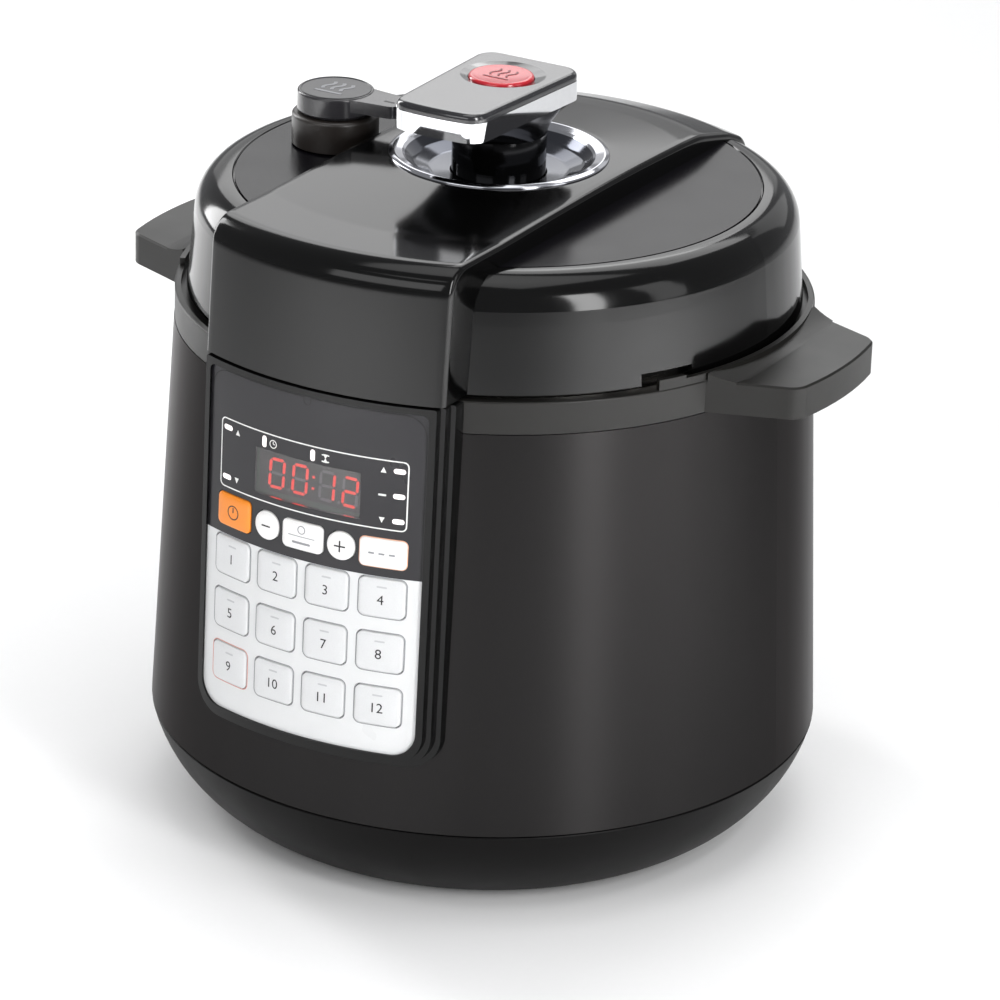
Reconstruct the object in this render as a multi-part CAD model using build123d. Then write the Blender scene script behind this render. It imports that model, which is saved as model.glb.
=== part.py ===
from build123d import *
import math
import os

# Electric pressure cooker. Millimetres, +Z up, origin at the centre of the base on the
# surface that it stands on. The control panel faces -Y.

# Body
FOOT_HEIGHT = 2.5
FOOT_CIRCLE_R = 95.0
BASE_FLOOR_R = 118.0
BASE_TOP_Z = 43.8
BODY_R = 150.0
SHELL_LOW_Z = 44.6
SHELL_TOP_Z = 225.2
SHELL_TOP_R = 140.4
SHELL_WALL = 1.2
RIM_R = 140.2
RIM_LOW_Z = 225.5
RIM_TOP_Z = 239.7
LIP_Z = 242.8
LIP_R = 139.8
LIP_WALL = 2.4
HANDLE_REACH = 172.0
HANDLE_LOW_Z = 225.5
HANDLE_TOP_Z = 239.7
HANDLE_WALL = 3.0

# Control panel: a shallow cone around the front of the shell
PANEL_TOP_Z = 240.0
PANEL_TOP_R = 152.0
PANEL_FLARE = 5 / 140
BEZEL_TOP_Z = 239.8
BEZEL_LIP = 1.2
BEZEL_TIERS = ((60.2, 75.7, -6.0), (58.4, 77.6, -2.0), (56.6, 79.5, BEZEL_LIP))
OVERLAY_HALF = 53.8
OVERLAY_LOW_Z = 83.6
OVERLAY_TOP_Z = 237.0
OVERLAY_THICK = 2.4
OPENING_HALF = 48.6
OPENING_LOW_Z = 91.5
OPENING_TOP_Z = 215.8
BOARD_FRONT_Y = -137.0
BOARD_THICK = 1.6
BOARD_HALF = 48.0
BOARD_LOW_Z = 84.0
BOARD_TOP_Z = 221.0
BOARD_FIXINGS = ((-40, 87.5), (40, 87.5), (-40, 218.4), (40, 218.4))

# Keys: name, x, z, width, height, corner radius
KEY_COLUMNS = (-37.3, -12.5, 12.3, 37.1)
KEY_ROWS = (154.1, 129.6, 105.1)
PROGRAM_KEY = (19.8, 17.2, 2.6)
UPPER_KEYS = (
    ("key_pressure", -37.0, 174.9, 19.2, 14.4, 2.4),
    ("key_minus", -18.3, 174.7, 12.6, 12.6, 6.2),
    ("key_time", 0.0, 174.5, 20.0, 12.6, 2.6),
    ("key_plus", 18.3, 174.3, 12.6, 12.6, 6.2),
    ("key_slow", 36.8, 174.1, 20.0, 12.6, 2.2),
)
KEY_PROUD = 0.9
KEY_CAP_DEPTH = 3.4
KEY_GAP = 0.3
SWITCH_SIZE = 6.0
SWITCH_Y = -141.2
SWITCH_TIP_Y = -142.2
PLUNGER_Y = -143.1
PLUNGER_R = 2.4

# Display
WINDOW_HALF = 26.0
WINDOW_LOW_Z = 187.5
WINDOW_TOP_Z = 208.0
LAMPS = ((-42.3, 211.3, 5.0, 2.2), (-42.4, 189.2, 5.0, 2.2), (-21.4, 211.3, 2.2, 5.0),
         (3.4, 211.3, 2.2, 5.0), (42.3, 211.0, 5.0, 2.2), (42.4, 199.9, 5.0, 2.2),
         (42.5, 188.8, 5.0, 2.2))

# Cooking vessel
CAN_R = 114.0
CAN_WALL = 1.4
CAN_LOW_Z = 48.0
FLANGE_LOW_Z = 230.0
FLANGE_TOP_Z = 232.0
FLANGE_R = 117.5
CAN_LUG_R = 122.7
LUG_COUNT = 6
LUG_ANGLE = 24.0
PLATE_LOW_Z = 49.6
PLATE_TOP_Z = 64.5
PLATE_R = 100.0
POT_R = 111.0
POT_WALL = 1.6
POT_LOW_Z = 64.8
POT_TOP_Z = 234.4
POT_RIM_R = 117.2
SUPPORT_LOW_Z = 36.0
SUPPORT_TOP_Z = 38.0
SENSOR_TOP_Z = 64.4
SENSOR_UNDER_Z = 60.0
WIRE_R = 0.6
SPRING_R = 8.0

# Lid
LID_LOW_Z = 240.5
LID_SKIRT_R = 134.9
LID_TOP_Z = 289.8
LID_INNER_Z = 285.2
INSET_R = 115.0
INSET_THICK = 2.0
EASE = 0.5
BAND_HALF = 57.5
BAND_TOP_Z = 299.3
BAND_WALL = 3.0
LID_PLATE_LOW_Z = 243.4
LID_PLATE_TOP_Z = 245.0
LID_PLATE_R = 125.0
LID_PLATE_SKIRT = 1.6
LID_LUG_R = 118.2
LID_LUG_LOW_Z = 224.5
LID_LUG_TOP_Z = 227.5
POST_R = 6.0
NOTCH_ANGLES = (-32.6, -21.8)
TAB_ANGLES = (-30.2, -24.7)

# Grip
DISH_R = 48.1
STEM_R = 20.6
GRIP_LOW_Z = 311.0
TRIM_LOW_Z = 323.2
TRIM_TOP_Z = 331.8
GRIP_TOP_Z = 335.6
GRIP_FRONT_Y = -57.5
GRIP_BACK_Y = 29.0
GRIP_FRONT_HALF = 21.8
GRIP_BACK_HALF = 25.6
GRIP_BOW = 2.0
GRIP_CORNER = 9.0
TRIM_WALL = 2.6
BUTTON_R = 14.3
BUTTON_SHAFT_R = 5.0

# Valves and their lever
VALVE_X = -82.0
VALVE_Y = -3.0
SEAT_R = 7.9
COLLAR_R = 19.3
COLLAR_TOP_Z = 304.8
KNOB_R = 17.0
KNOB_TOP_Z = 315.0
KNOB_ARM = 35.0
FLOAT_X = -20.0
FLOAT_Y = 62.0
LEVER_X = -40.0
LEVER_Z = 275.0
LEVER_PIN_R = 2.0

# Back of the body
CUP_HALF = 22.9
CUP_LOW_Z = 178.0
CUP_TOP_Z = 222.3
CUP_WALL = 1.6
CUP_INNER_Y = 143.6
INLET_Z = 70.0

UPRIGHT = (Align.CENTER, Align.CENTER, Align.MIN)


def turned(*points):
    """Solid of revolution from a closed outline of (radius, height) or
    (radius, height, corner radius) points."""
    places = [(p[0], 0, p[1]) for p in points]
    corners = [p[2] if len(p) > 2 else 0 for p in points]
    outline = FilletPolyline(*places, radius=corners, close=True)
    return revolve(make_face(outline), Axis.Z)


def disc(radius, low, high, x=0, y=0):
    """Upright cylinder between two heights."""
    return Pos(x, y, low) * Cylinder(radius, high - low, align=UPRIGHT)


def tube(outer, inner, low, high, x=0, y=0):
    """Upright pipe between two heights."""
    return disc(outer, low, high, x, y) - disc(inner, low - 1, high + 1, x, y)


def block(x0, x1, y0, y1, z0, z1):
    """Box between two corners."""
    middle = Pos((x0 + x1) / 2, (y0 + y1) / 2, (z0 + z1) / 2)
    return middle * Box(x1 - x0, y1 - y0, z1 - z0)


def sector(outer, inner, low, high, start, end):
    """Piece of an upright ring between two angles, counted from +X towards +Y."""
    corners = [(inner, 0, low), (outer, 0, low), (outer, 0, high), (inner, 0, high)]
    section = make_face(Polyline(*corners, close=True))
    return Rot(0, 0, start) * revolve(section, Axis.Z, end - start)


def polar(radius, angle):
    """Point on a circle about the axis."""
    turn = math.radians(angle)
    return radius * math.cos(turn), radius * math.sin(turn)


def coil(low, high, turns):
    """Compression spring of round wire about the vertical axis."""
    rise = high - low - 2 * WIRE_R
    path = Helix(rise / turns, rise, SPRING_R, center=(0, 0, low + WIRE_R))
    section = Plane(path @ 0, z_dir=path % 0) * Circle(WIRE_R)
    return sweep(section, path=path)


def shell_radius(z):
    share = (z - SHELL_LOW_Z) / (SHELL_TOP_Z - SHELL_LOW_Z)
    return BODY_R + (SHELL_TOP_R - BODY_R) * share


def panel_radius(z):
    return PANEL_TOP_R + (PANEL_TOP_Z - z) * PANEL_FLARE


def panel_cone(offset):
    """Everything inside the panel's surface, moved outwards by the offset."""
    low, high = 60, 250
    return turned((0, low), (panel_radius(low) + offset, low),
                  (panel_radius(high) + offset, high), (0, high))


def front_bar(face):
    """Carries a face drawn in x and z through the front of the body, along Y."""
    return Pos(0, -110, 0) * extrude(Plane.XZ * face, 60)


def panel_face(half, low, high, low_corner, high_corner):
    """Upright rectangle with its lower and upper corners rounded apart."""
    face = Pos(0, (low + high) / 2) * Rectangle(2 * half, high - low)
    face = fillet(face.vertices().group_by(Axis.Y)[0], low_corner)
    return fillet(face.vertices().group_by(Axis.Y)[-1], high_corner)


def key_table():
    """Every key as name, x, z, width, height and corner radius."""
    keys = list(UPPER_KEYS)
    for row, z in enumerate(KEY_ROWS):
        for column, x in enumerate(KEY_COLUMNS):
            number = 1 + column + len(KEY_COLUMNS) * row
            keys.append((f"key_prog_{number:02d}", x, z, *PROGRAM_KEY))
    return keys


def base_shell():
    curve = ThreePointArc((BASE_FLOOR_R, 0, FOOT_HEIGHT), (137.6, 0, 18.9), (BODY_R, 0, BASE_TOP_Z))
    inner = ThreePointArc((147, 0, BASE_TOP_Z), (134.8, 0, 20.4), (BASE_FLOOR_R - 1.5, 0, 5.5))
    rest = Polyline((BODY_R, 0, BASE_TOP_Z), (148.2, 0, BASE_TOP_Z), (148.2, 0, 50), (147, 0, 50),
                    (147, 0, BASE_TOP_Z))
    under = Polyline((BASE_FLOOR_R - 1.5, 0, 5.5), (0, 0, 5.5), (0, 0, FOOT_HEIGHT),
                     (BASE_FLOOR_R, 0, FOOT_HEIGHT))
    bowl = revolve(make_face([curve, rest, inner, under]), Axis.Z)
    bowl -= turned((BODY_R - EASE, BASE_TOP_Z + 0.1), (BODY_R + 1, BASE_TOP_Z + 0.1),
                   (BODY_R + 1, BASE_TOP_Z - EASE - 1), (BODY_R, BASE_TOP_Z - EASE - 0.1))
    for angle in range(0, 360, 60):
        x, y = polar(108, angle + 30)
        bowl += disc(5, 5, SUPPORT_LOW_Z, x, y)
        bowl -= disc(1.7, 0, 18, x, y) + disc(3.8, 0, 5, x, y)
    for angle in range(0, 360, 15):
        bowl -= Rot(0, 0, angle) * block(40, 75, -1.5, 1.5, 0, 8)
    for angle in range(45, 360, 90):
        x, y = polar(FOOT_CIRCLE_R, angle)
        bowl -= disc(9.1, 0, 4, x, y)
    return bowl


def rubber_feet():
    feet = Part()
    for angle in range(45, 360, 90):
        x, y = polar(FOOT_CIRCLE_R, angle)
        foot = disc(9, 0, 4, x, y)
        feet += chamfer(foot.edges().group_by(Axis.Z)[0], 0.8)
    return feet


def case_screws():
    screws = Part()
    for angle in range(0, 360, 60):
        x, y = polar(108, angle + 30)
        screws += disc(3.6, 3.2, 5, x, y) + disc(1.6, 5, 16, x, y)
    return screws


def support_plate():
    plate = disc(138, SUPPORT_LOW_Z, SUPPORT_TOP_Z) - disc(4.1, 30, 40)
    for angle in range(0, 360, 90):
        x, y = polar(85, angle)
        plate += disc(6, SUPPORT_TOP_Z, CAN_LOW_Z, x, y)
        plate -= disc(22, 30, 40, *polar(85, angle + 45))
    for x in (-38, 38):
        plate += block(x - 5, x + 5, 121.5, 133.5, SUPPORT_TOP_Z, 92)
        plate -= block(x - 6, x + 6, 127, 128.7, 88, 93)
    return plate


def outer_shell():
    wall = turned((BODY_R, SHELL_LOW_Z), (SHELL_TOP_R, SHELL_TOP_Z),
                  (SHELL_TOP_R - SHELL_WALL, SHELL_TOP_Z), (BODY_R - SHELL_WALL, SHELL_LOW_Z))
    wall -= block(-50.5, 50.5, -160, -100, 82, 223)
    wall -= block(-17.4, 17.4, 100, 160, INLET_Z - 13.4, INLET_Z + 13.4)
    return wall


def handle_outline(reach, edge, corner):
    """Side handle seen from above: a circle about the axis cut by two slanting flanks."""
    flanks = make_face(Polyline((118, edge + 5.4), (200, edge - 25.4), (200, 25.4 - edge),
                                (118, -edge - 5.4), close=True))
    face = flanks & Circle(reach)
    tips = face.vertices().sort_by(Axis.X)[-2:]
    return fillet(tips, corner)


def side_handle():
    solid = extrude(Pos(0, 0, HANDLE_LOW_Z) * handle_outline(HANDLE_REACH, 48.6, 9),
                    HANDLE_TOP_Z - HANDLE_LOW_Z)
    solid = chamfer(solid.edges().group_by(Axis.Z)[-1], 0.8)
    hollow = extrude(Pos(0, 0, HANDLE_LOW_Z - 1) * handle_outline(HANDLE_REACH - HANDLE_WALL, 45.4, 6),
                     HANDLE_TOP_Z - HANDLE_LOW_Z - 2.5)
    hollow -= block(110, 143, -60, 60, 200, 260)
    return solid - hollow - disc(RIM_R - 1, 200, 260)


def handle_cove():
    """Hollow slope that joins the handle's flat top to the rim's raised lip."""
    curve = ThreePointArc((132, 0, LIP_Z), (139.5, 0, 240.5), (150, 0, HANDLE_TOP_Z))
    edges = Polyline((150, 0, HANDLE_TOP_Z), (150, 0, 238), (132, 0, 238), (132, 0, LIP_Z))
    slope = Pos(0, 60, 0) * extrude(make_face([curve, edges]), 120, dir=(0, -1, 0))
    outline = handle_outline(HANDLE_REACH, 48.6, 9) & Circle(150)
    footprint = extrude(Pos(0, 0, 237) * outline, 10) - disc(LIP_R - 0.2, 230, 250)
    return slope & footprint


def cup_tongue():
    """Spout plate at the back and the two rails that carry the condensation cup."""
    front_reach = panel_radius(BEZEL_TIERS[-1][1]) + BEZEL_LIP
    tongue = block(-29.4, 29.4, 125, front_reach, 226, 229.5)
    for side in (-1, 1):
        rail = block(26.6, 29.4, 142, front_reach, 218, 227)
        rail += block(23.3, 29.4, 142, front_reach, 218, 219.6)
        tongue += rail if side > 0 else mirror(rail, Plane.YZ)
    return tongue - disc(RIM_R - 1, 200, 260)


def rim_frame():
    ring = turned((114.3, 218), (129.5, 218), (129.5, 234), (136, 234), (136, 222), (138.6, 222),
                  (138.6, RIM_LOW_Z), (RIM_R, RIM_LOW_Z), (RIM_R, RIM_TOP_Z, 0.8),
                  (LIP_R - LIP_WALL, RIM_TOP_Z), (LIP_R - LIP_WALL, 236.5), (127, 236.5),
                  (127, 221), (114.3, 221))
    handle = side_handle() + handle_cove()
    ring += handle
    ring += Rot(0, 0, 180) * handle
    for turn in (0, 180):
        ring += sector(LIP_R, LIP_R - LIP_WALL, 236, LIP_Z, turn - 24.7, turn + 24.7)
        tab = (TAB_ANGLES[0] + turn, TAB_ANGLES[1] + turn)
        ring += sector(LIP_R, LIP_R - LIP_WALL, 236, LIP_Z + 1.4, *tab)
    return ring + cup_tongue()


def bezel_prism():
    """The raised surround before it is hollowed, as three stepped tiers."""
    solid = Part()
    for half, low, offset in BEZEL_TIERS:
        tier = front_bar(panel_face(half, low, BEZEL_TOP_Z, 14, 1))
        solid += tier & panel_cone(offset)
    return solid


def panel_bezel():
    bezel = bezel_prism()
    bezel -= turned((0, 60), (shell_radius(60), 60), (shell_radius(250), 250), (0, 250))
    bezel -= disc(RIM_R + 0.3, 222, 250)
    opening = panel_face(OPENING_HALF, OPENING_LOW_Z, OPENING_TOP_Z, 3, 3)
    bezel -= front_bar(opening)
    recess = front_bar(panel_face(OVERLAY_HALF, OVERLAY_LOW_Z, OVERLAY_TOP_Z, 11, 3))
    bezel -= recess - panel_cone(-OVERLAY_THICK)
    bezel -= block(-BOARD_HALF - 0.5, BOARD_HALF + 0.5, BOARD_FRONT_Y, -120, BOARD_LOW_Z - 0.5,
                   BOARD_TOP_Z + 0.5)
    for x, z in BOARD_FIXINGS:
        boss = extrude(Plane.XZ * Pos(x, z) * Circle(3), 170) & panel_cone(-OVERLAY_THICK - 0.2)
        bezel += boss & block(-60, 60, -170, BOARD_FRONT_Y, 60, 240)
    return bezel


def window_face(gap):
    """The display window seen from the front, smaller by the gap all round."""
    face = Rectangle(2 * (WINDOW_HALF - gap), WINDOW_TOP_Z - WINDOW_LOW_Z - 2 * gap)
    return Pos(0, (WINDOW_LOW_Z + WINDOW_TOP_Z) / 2) * face


def panel_overlay():
    face = panel_face(OVERLAY_HALF, OVERLAY_LOW_Z, OVERLAY_TOP_Z, 11, 3)
    face -= window_face(0)
    for x, z, width, height in LAMPS:
        face -= Pos(x, z) * RectangleRounded(width + 0.2, height + 0.2, 1.1)
    for _, x, z, width, height, corner in key_table():
        face -= Pos(x, z) * RectangleRounded(width + 2 * KEY_GAP, height + 2 * KEY_GAP, corner)
    return (front_bar(face) & panel_cone(0)) - panel_cone(-OVERLAY_THICK)


def display_window():
    return (front_bar(window_face(0.1)) & panel_cone(-0.1)) - panel_cone(-OVERLAY_THICK)


def indicator_lamps():
    lamps = Part()
    for x, z, width, height in LAMPS:
        pipe = front_bar(Pos(x, z) * RectangleRounded(width, height, 1.05)) & panel_cone(-0.1)
        lamps += pipe & block(-60, 60, -160, BOARD_FRONT_Y, 180, 220)
    return lamps


def display_module():
    return block(-25.5, 25.5, -147, BOARD_FRONT_Y, WINDOW_LOW_Z + 0.5, WINDOW_TOP_Z - 0.5)


def control_board():
    board = block(-BOARD_HALF, BOARD_HALF, BOARD_FRONT_Y, BOARD_FRONT_Y + BOARD_THICK, BOARD_LOW_Z,
                  BOARD_TOP_Z)
    board += block(-14, 14, BOARD_FRONT_Y, BOARD_FRONT_Y + 4.0, 140, 168)
    board += block(38, 47, BOARD_FRONT_Y, BOARD_FRONT_Y + 6.0, 96, 112)
    return board


def key_switches():
    switches = Part()
    half = SWITCH_SIZE / 2
    for _, x, z, *_ in key_table():
        switches += block(x - half, x + half, SWITCH_Y, BOARD_FRONT_Y, z - half, z + half)
        tip = extrude(Plane.XZ * Pos(x, z) * Circle(1.7), -SWITCH_TIP_Y)
        switches += tip & block(-60, 60, SWITCH_TIP_Y, SWITCH_Y, 60, 240)
    return switches


def panel_key(x, z, width, height, corner):
    """Curved key cap with the plunger that reaches its switch."""
    bar = front_bar(Pos(x, z) * RectangleRounded(width, height, corner - 0.05))
    cap = (bar & panel_cone(KEY_PROUD)) - panel_cone(KEY_PROUD - KEY_CAP_DEPTH)
    plunger = extrude(Plane.XZ * Pos(x, z) * Circle(PLUNGER_R), 170)
    plunger &= panel_cone(KEY_PROUD - 1)
    return cap + (plunger & block(-60, 60, -160, PLUNGER_Y, 60, 240))


def ribbon_cable():
    """Flat cable around the can, from the control board to the power board."""
    cable = sector(125.2, 124.2, 97, 111, -68.5, 71)
    near = block(38.5, 46.5, -130.9, -113, 98, 110) - disc(124.2, 90, 120)
    far = block(31, 41, 116, 126.9, 98, 110) - disc(124.2, 90, 120)
    return cable + near + far


def power_board():
    return block(-44, 44, 127, 128.6, 88.2, 165)


def power_parts():
    relay = block(-38, -20, 128.6, 138, 96, 114)
    transformer = block(-12, 12, 128.6, 140, 104, 128)
    parts = relay + transformer
    for x, z in ((24, 150), (-28, 150)):
        parts += Pos(x, 133.4, z) * Cylinder(4.6, 14)
    parts += block(20, 36, 128.6, 134, 122, 138)
    return parts + block(-10, 10, 128.6, 132, 142, 158)


def heater_leads():
    """Two insulated wires from the heating plate's studs towards the power board."""
    leads = Part()
    for side in (-1, 1):
        path = FilletPolyline((side * 45, 60, 42.5), (side * 45, 112, 42.5), (side * 30, 117.5, 60),
                              (side * 30, 117.5, 92), radius=6)
        section = Plane(path @ 0, z_dir=path % 0) * Circle(1.5)
        leads += sweep(section, path=path)
        leads += block(side * 30 - 3, side * 30 + 3, 115.6, 126.9, 92, 97)
    return leads


def power_inlet():
    """Three-pin socket in a flanged housing low on the back."""
    back = shell_radius(INLET_Z - 17) + 0.2
    housing = block(-17, 17, 128, back, INLET_Z - 13, INLET_Z + 13)
    housing += block(-21, 21, back, back + 2.4, INLET_Z - 17, INLET_Z + 17)
    socket = block(-12.5, 12.5, 133, 160, INLET_Z - 8.5, INLET_Z + 8.5)
    housing -= socket
    for x, z in ((-7, -2.5), (7, -2.5), (0, 2.5)):
        housing += block(x - 1, x + 1, 131, 147, INLET_Z + z - 2, INLET_Z + z + 2)
    return housing


def pressure_can():
    can = turned((30, CAN_LOW_Z), (CAN_R, CAN_LOW_Z, 5), (CAN_R, FLANGE_LOW_Z),
                 (FLANGE_R, FLANGE_LOW_Z), (FLANGE_R, FLANGE_TOP_Z),
                 (CAN_R - CAN_WALL, FLANGE_TOP_Z), (CAN_R - CAN_WALL, CAN_LOW_Z + CAN_WALL, 3.6),
                 (30, CAN_LOW_Z + CAN_WALL))
    for lug in range(LUG_COUNT):
        middle = lug * 360 / LUG_COUNT
        can += sector(CAN_LUG_R, FLANGE_R - 1, FLANGE_LOW_Z, FLANGE_TOP_Z,
                      middle - LUG_ANGLE / 2, middle + LUG_ANGLE / 2)
    for side in (-1, 1):
        can -= disc(5, 40, 52, side * 45, 60)
    return can


def heating_plate():
    plate = turned((17.5, PLATE_LOW_Z), (PLATE_R, PLATE_LOW_Z), (PLATE_R, PLATE_TOP_Z, 3),
                   (17.5, PLATE_TOP_Z))
    for side in (-1, 1):
        plate += disc(3, 44.1, PLATE_LOW_Z + 1, side * 45, 60)
    return plate


def heat_sensor():
    return disc(16, SENSOR_UNDER_Z, SENSOR_TOP_Z) + disc(4, 32, SENSOR_UNDER_Z)


def inner_pot():
    inner = POT_R - POT_WALL
    return turned((0, POT_LOW_Z), (POT_R, POT_LOW_Z, 14), (POT_R, POT_TOP_Z - POT_WALL, 0.6),
                  (POT_RIM_R, POT_TOP_Z - POT_WALL), (POT_RIM_R, POT_TOP_Z), (inner, POT_TOP_Z, 1.4),
                  (inner, POT_LOW_Z + POT_WALL, 12.4), (0, POT_LOW_Z + POT_WALL))


def sealing_ring():
    return turned((106.4, 234.8), (117.4, 234.8, 1.5), (117.4, 243.0, 1.5), (109, 243.0),
                  (109, 241), (114.2, 241), (114.2, 237.4), (106.4, 237.4))


def ring_carrier():
    carrier = turned((POST_R + 0.1, 231.2), (92, 231.2), (98, 238.2), (112, 238.2), (112, 239.2),
                     (97.4, 239.2), (91.4, 232.2), (POST_R + 0.1, 232.2))
    for angle in range(0, 360, 30):
        carrier -= disc(3, 228, 235, *polar(70, angle))
    return carrier


def lid_plate():
    skirt_inner = LID_PLATE_R - LID_PLATE_SKIRT
    plate = turned((0, LID_PLATE_LOW_Z), (skirt_inner, LID_PLATE_LOW_Z), (skirt_inner, LID_LUG_LOW_Z),
                   (LID_PLATE_R, LID_LUG_LOW_Z), (LID_PLATE_R, LID_PLATE_TOP_Z, 1.2),
                   (0, LID_PLATE_TOP_Z))
    for lug in range(LUG_COUNT):
        middle = (lug + 0.5) * 360 / LUG_COUNT
        plate += sector(skirt_inner + 0.5, LID_LUG_R, LID_LUG_LOW_Z, LID_LUG_TOP_Z,
                        middle - LUG_ANGLE / 2, middle + LUG_ANGLE / 2)
    plate += disc(POST_R, 228, LID_PLATE_LOW_Z) + disc(9.5, 226, 229)
    plate -= disc(5, 240, 250, VALVE_X, VALVE_Y)
    plate -= disc(3.4, 240, 250, FLOAT_X, FLOAT_Y)
    for side in (-1, 1):
        plate += block(LEVER_X - 5, LEVER_X + 5, 9 * side - 1.2, 9 * side + 1.2, 244, LEVER_Z + 5)
    return plate + Pos(LEVER_X, 0, LEVER_Z) * Rot(90, 0, 0) * Cylinder(LEVER_PIN_R, 18)


def cover_outer(high=LID_TOP_Z):
    """The lid cover's outer form, filled solid down to its lower edge."""
    shoulder = ThreePointArc((131.6, 0, 276), (126.7, 0, 285.6), (115.5, 0, high))
    rest = Polyline((115.5, 0, high), (0, 0, high), (0, 0, LID_LOW_Z), (LID_SKIRT_R, 0, LID_LOW_Z),
                    (132.2, 0, 270), (131.6, 0, 276))
    return revolve(make_face([shoulder, rest]), Axis.Z)


def inset_side(radius, gap):
    """The part of a disc beyond the band, at the right."""
    low = LID_TOP_Z - INSET_THICK
    return disc(radius, low, LID_TOP_Z + 1) & block(BAND_HALF + gap, 130, -130, 130, low, LID_TOP_Z)


def inset_bevel():
    """Sloping edge around the inset's recess, at the right."""
    ring = turned((INSET_R - 2, LID_TOP_Z - EASE), (INSET_R, LID_TOP_Z - EASE),
                  (INSET_R + EASE, LID_TOP_Z), (INSET_R + EASE, LID_TOP_Z + 1),
                  (INSET_R - 2, LID_TOP_Z + 1))
    return ring & block(BAND_HALF, 130, -130, 130, LID_TOP_Z - 2, LID_TOP_Z + 1)


def both_sides(shape):
    return shape + mirror(shape, Plane.YZ)


def lid_cover():
    cover = cover_outer()
    cover -= turned((0, 200), (132.4, 200), (132.4, LID_LOW_Z), (129.7, 270), (128.6, 277, 8),
                    (120, LID_INNER_Z, 8), (0, LID_INNER_Z))
    cover -= both_sides(inset_side(INSET_R, 0)) + both_sides(inset_bevel())
    for angle in range(15, 360, 60):
        cover += disc(5, LID_PLATE_TOP_Z, LID_INNER_Z + 1, *polar(112, angle))
    for turn in (0, 180):
        notch = (NOTCH_ANGLES[0] + turn, NOTCH_ANGLES[1] + turn)
        cover -= sector(140, 125, LID_LOW_Z - 1, LID_LOW_Z + 5.5, *notch)
    cover -= disc(9, 280, 300) + disc(12.6, 280, 300, VALVE_X, VALVE_Y)
    cover -= disc(4.7, 280, 300, FLOAT_X, FLOAT_Y)
    for x, y in lid_screw_places():
        cover -= disc(1.8, 280, 300, x, y)
    return cover


def lid_screw_places():
    return [(x, y) for x in (-12.5, 12.5) for y in (-7.5, 7.5)]


def lid_insets():
    return both_sides(inset_side(INSET_R - 0.6, 0.6)) - disc(12.6, 280, 300, VALVE_X, VALVE_Y)


def band_profile(inset, front):
    """Half outline of the band, as a solid of revolution, for the front or the rear."""
    top = BAND_TOP_Z - inset
    if front:
        outline = [(0, 236), (150.8 - inset, 236), (146.9 - inset, top - 1.8, 11 - inset),
                   (110, top - 1.8), (50, top), (0, top)]
    else:
        outline = [(0, 236), (136.4 - inset, 236), (134 - inset, top - 15.3, 10 - inset),
                   (118, top - 7.8, 25), (92, top - 1.3, 60), (50, top), (0, top)]
    return turned(*outline)


def band_form(inset):
    """The band's outer form, or its hollow when it is moved inwards."""
    half = BAND_HALF - inset
    front = band_profile(inset, True) & block(-half, half, -170, 0, LID_LOW_Z - inset, 310)
    rear = band_profile(inset, False) & block(-half, half, 0, 170, LID_LOW_Z - inset, 310)
    return front + rear


def lid_band():
    band = band_form(0) - band_form(BAND_WALL) - cover_outer()
    band -= tube(LIP_R + 1, LIP_R - LIP_WALL - 0.6, 230, LIP_Z + 0.8)
    band -= disc(43.6, 290, 310) + disc(4.7, 280, 310, FLOAT_X, FLOAT_Y)
    return band


def bezel_ring():
    return turned((DISH_R, 299.4), (DISH_R, 301.0, 0.8), (46, 302.0, 1.5), (42, 300.6, 0.5),
                  (37, 296, 6), (30, 293.2, 6), (STEM_R + 0.6, 292.6), (STEM_R + 0.6, 291.2),
                  (30.5, 291.8, 6), (38, 294.8, 6), (43.2, 298.8), (43.2, 299.4))


def grip_face(inset, z):
    """The grip seen from above: a taper with rounded corners and a bowed front."""
    front = GRIP_FRONT_HALF - inset
    back = GRIP_BACK_HALF - inset
    near = GRIP_FRONT_Y + inset
    far = GRIP_BACK_Y - inset
    bow = ThreePointArc((-front, near + GRIP_BOW), (0, near), (front, near + GRIP_BOW))
    sides = Polyline((front, near + GRIP_BOW), (back, far), (-back, far), (-front, near + GRIP_BOW))
    face = make_face([bow, sides])
    return Pos(0, 0, z) * fillet(face.vertices(), GRIP_CORNER - inset)


def handle_base():
    stem = disc(STEM_R, LID_TOP_Z, GRIP_LOW_Z)
    throat = loft([Pos(0, 0, GRIP_LOW_Z) * Circle(STEM_R), grip_face(0.6, TRIM_LOW_Z)])
    plug = extrude(grip_face(TRIM_WALL + 0.05, TRIM_LOW_Z), TRIM_TOP_Z - TRIM_LOW_Z)
    base = stem + throat + plug
    base -= disc(17, 322, TRIM_TOP_Z + 1) + disc(9.8, 315, 323) + disc(BUTTON_SHAFT_R + 0.1, 280, 316)
    for x, y in lid_screw_places():
        base -= disc(1.6, 280, 300, x, y)
    return base


def handle_trim():
    ring = extrude(grip_face(0, TRIM_LOW_Z), TRIM_TOP_Z - TRIM_LOW_Z)
    return ring - extrude(grip_face(TRIM_WALL, TRIM_LOW_Z), TRIM_TOP_Z - TRIM_LOW_Z)


def handle_top():
    plate = extrude(grip_face(0.3, TRIM_TOP_Z), GRIP_TOP_Z - TRIM_TOP_Z)
    plate = fillet(plate.edges().group_by(Axis.Z)[-1], 2.4)
    scoop_r = 76.4
    plate -= Pos(0, 1.5, GRIP_TOP_Z + scoop_r - 2.3) * Sphere(scoop_r)
    return plate - disc(BUTTON_R + 0.3, 330, 340)


def lid_screws():
    screws = Part()
    for x, y in lid_screw_places():
        screws += disc(3, LID_INNER_Z - 2.4, LID_INNER_Z, x, y) + disc(1.5, LID_INNER_Z, 299, x, y)
    return screws


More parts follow.
